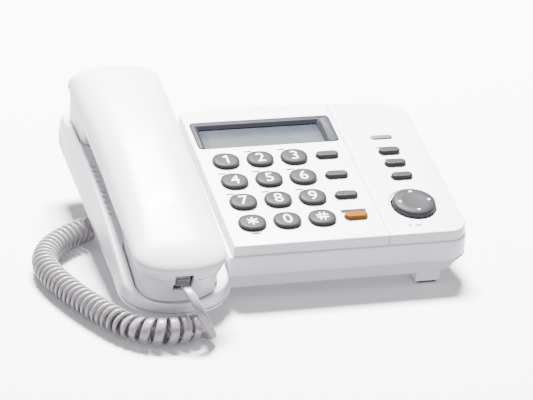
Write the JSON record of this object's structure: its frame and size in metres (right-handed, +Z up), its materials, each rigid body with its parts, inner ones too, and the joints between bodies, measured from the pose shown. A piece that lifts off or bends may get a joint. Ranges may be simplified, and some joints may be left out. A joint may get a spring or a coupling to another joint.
{
  "type": "corded telephone",
  "caption": "Corded desk telephone: sloped keypad deck with display and navigation key, side cradle with lifting handset, curly cord, line inlet and rear stand.",
  "frame": {"origin": "middle of the footprint on the table, the cord left out", "axes": "+X to the right as the user sees the phone, +Y away from the user, +Z up"},
  "size_m": [0.2332, 0.2092, 0.0835],
  "materials": {
    "white_shell": "fine satin, moulded",
    "grey_key": "satin",
    "orange_key": "satin",
    "display_frame": "semi-gloss",
    "clear_window": "clear and glossy",
    "display_glass": "reflective grey-green",
    "lens": "translucent",
    "lamp": "translucent",
    "key_mat": "matt silicone",
    "board": "lacquered",
    "dark_part": "satin",
    "speaker_metal": "matt",
    "cell": "plain sleeve, satin",
    "foot_rubber": "matt",
    "ballast": "plain sheared steel",
    "clear_plug": "clear",
    "cord_jacket": "soft satin jacket"
  },
  "bodies": {
    "base": {"base_top_housing": "white_shell", "keypad_panel": "white_shell", "function_panel": "white_shell", "display_bezel": "display_frame", "display_window": "clear_window", "lcd_module": "display_glass", "indicator_lens": "lens", "indicator_lamp": "lamp", "key_mat": "key_mat", "main_board": "board", "base_microphone": "dark_part", "loudspeaker": "speaker_metal", "bottom_cover": "white_shell", "base_cord_jack": "dark_part", "line_jack": "dark_part", "battery_cell_1": "cell", "battery_cell_2": "cell", "battery_cell_3": "cell", "rear_stand": "white_shell", "front_pad_left": "foot_rubber", "front_pad_right": "foot_rubber", "rear_pad_left": "foot_rubber", "rear_pad_right": "foot_rubber", "base_plug": "clear_plug", "curly_cord": "cord_jacket"},
    "handset": {"handset_back_shell": "white_shell", "handset_front_shell": "white_shell", "handset_jack": "dark_part", "receiver_capsule": "dark_part", "handset_microphone": "dark_part", "handset_weight": "ballast", "handset_plug": "clear_plug", "handset_cord_lead": "cord_jacket"},
    "dial_key_1": {"dial_key_1": "grey_key"},
    "dial_key_2": {"dial_key_2": "grey_key"},
    "dial_key_3": {"dial_key_3": "grey_key"},
    "dial_key_4": {"dial_key_4": "grey_key"},
    "dial_key_5": {"dial_key_5": "grey_key"},
    "dial_key_6": {"dial_key_6": "grey_key"},
    "dial_key_7": {"dial_key_7": "grey_key"},
    "dial_key_8": {"dial_key_8": "grey_key"},
    "dial_key_9": {"dial_key_9": "grey_key"},
    "dial_key_star": {"dial_key_star": "grey_key"},
    "dial_key_0": {"dial_key_0": "grey_key"},
    "dial_key_hash": {"dial_key_hash": "grey_key"},
    "pill_key_upper": {"pill_key_upper": "grey_key"},
    "pill_key_middle": {"pill_key_middle": "grey_key"},
    "pill_key_lower": {"pill_key_lower": "grey_key"},
    "speaker_key": {"speaker_key": "orange_key"},
    "function_key_upper": {"function_key_upper": "grey_key"},
    "function_key_middle": {"function_key_middle": "grey_key"},
    "function_key_lower": {"function_key_lower": "grey_key"},
    "nav_pivot": {"nav_pivot": "dark_part"},
    "nav_key": {"nav_key": "grey_key"},
    "hook_plunger": {"hook_plunger": "white_shell"},
    "hanger_tab": {"hanger_tab": "white_shell"},
    "battery_cover": {"battery_cover": "white_shell"}
  },
  "joints": [
    {"name": "handset_lift", "type": "slide", "parent": "base", "child": "handset", "axis": [0, -0.2079, 0.9781], "range_m": [0, 0.08]},
    {"name": "dial_key_1_press", "type": "slide", "parent": "base", "child": "dial_key_1", "axis": [0, 0.2079, -0.9781], "range_m": [0, 0.0013], "stiffness_N_per_m": 400},
    {"name": "dial_key_2_press", "type": "slide", "parent": "base", "child": "dial_key_2", "axis": [0, 0.2079, -0.9781], "range_m": [0, 0.0013], "stiffness_N_per_m": 400},
    {"name": "dial_key_3_press", "type": "slide", "parent": "base", "child": "dial_key_3", "axis": [0, 0.2079, -0.9781], "range_m": [0, 0.0013], "stiffness_N_per_m": 400},
    {"name": "dial_key_4_press", "type": "slide", "parent": "base", "child": "dial_key_4", "axis": [0, 0.2079, -0.9781], "range_m": [0, 0.0013], "stiffness_N_per_m": 400},
    {"name": "dial_key_5_press", "type": "slide", "parent": "base", "child": "dial_key_5", "axis": [0, 0.2079, -0.9781], "range_m": [0, 0.0013], "stiffness_N_per_m": 400},
    {"name": "dial_key_6_press", "type": "slide", "parent": "base", "child": "dial_key_6", "axis": [0, 0.2079, -0.9781], "range_m": [0, 0.0013], "stiffness_N_per_m": 400},
    {"name": "dial_key_7_press", "type": "slide", "parent": "base", "child": "dial_key_7", "axis": [0, 0.2079, -0.9781], "range_m": [0, 0.0013], "stiffness_N_per_m": 400},
    {"name": "dial_key_8_press", "type": "slide", "parent": "base", "child": "dial_key_8", "axis": [0, 0.2079, -0.9781], "range_m": [0, 0.0013], "stiffness_N_per_m": 400},
    {"name": "dial_key_9_press", "type": "slide", "parent": "base", "child": "dial_key_9", "axis": [0, 0.2079, -0.9781], "range_m": [0, 0.0013], "stiffness_N_per_m": 400},
    {"name": "dial_key_star_press", "type": "slide", "parent": "base", "child": "dial_key_star", "axis": [0, 0.2079, -0.9781], "range_m": [0, 0.0013], "stiffness_N_per_m": 400},
    {"name": "dial_key_0_press", "type": "slide", "parent": "base", "child": "dial_key_0", "axis": [0, 0.2079, -0.9781], "range_m": [0, 0.0013], "stiffness_N_per_m": 400},
    {"name": "dial_key_hash_press", "type": "slide", "parent": "base", "child": "dial_key_hash", "axis": [0, 0.2079, -0.9781], "range_m": [0, 0.0013], "stiffness_N_per_m": 400},
    {"name": "pill_key_upper_press", "type": "slide", "parent": "base", "child": "pill_key_upper", "axis": [0, 0.2079, -0.9781], "range_m": [0, 0.0013], "stiffness_N_per_m": 400},
    {"name": "pill_key_middle_press", "type": "slide", "parent": "base", "child": "pill_key_middle", "axis": [0, 0.2079, -0.9781], "range_m": [0, 0.0013], "stiffness_N_per_m": 400},
    {"name": "pill_key_lower_press", "type": "slide", "parent": "base", "child": "pill_key_lower", "axis": [0, 0.2079, -0.9781], "range_m": [0, 0.0013], "stiffness_N_per_m": 400},
    {"name": "speaker_key_press", "type": "slide", "parent": "base", "child": "speaker_key", "axis": [0, 0.2079, -0.9781], "range_m": [0, 0.0013], "stiffness_N_per_m": 400},
    {"name": "function_key_upper_press", "type": "slide", "parent": "base", "child": "function_key_upper", "axis": [0, 0.2079, -0.9781], "range_m": [0, 0.0013], "stiffness_N_per_m": 400},
    {"name": "function_key_middle_press", "type": "slide", "parent": "base", "child": "function_key_middle", "axis": [0, 0.2079, -0.9781], "range_m": [0, 0.0013], "stiffness_N_per_m": 400},
    {"name": "function_key_lower_press", "type": "slide", "parent": "base", "child": "function_key_lower", "axis": [0, 0.2079, -0.9781], "range_m": [0, 0.0013], "stiffness_N_per_m": 400},
    {"name": "nav_rock_up_down", "type": "hinge", "parent": "base", "child": "nav_pivot", "pos_m": [0.07259, -0.03753, 0.03456], "axis": [1, 0, 0], "range_deg": [-2.5, 2.5], "stiffness_Nm_per_rad": 0.08},
    {"name": "nav_rock_left_right", "type": "hinge", "parent": "nav_pivot", "child": "nav_key", "pos_m": [0.07259, -0.03753, 0.03456], "axis": [0, 0.9781, 0.2079], "range_deg": [-2.5, 2.5], "stiffness_Nm_per_rad": 0.08},
    {"name": "hook_rise", "type": "slide", "parent": "base", "child": "hook_plunger", "axis": [0, -0.2079, 0.9781], "range_m": [0, 0.0036]},
    {"name": "hanger_tab_slide", "type": "slide", "parent": "base", "child": "hanger_tab", "axis": [0, -0.2079, 0.9781], "range_m": [0, 0.005]},
    {"name": "battery_cover_slide", "type": "slide", "parent": "base", "child": "battery_cover", "axis": [0, -0.9781, -0.2079], "range_m": [0, 0.0075]}
  ],
  "couplings": [
    {"joint": "hook_rise", "follows": "handset_lift", "ratio": 0.045}
  ]
}
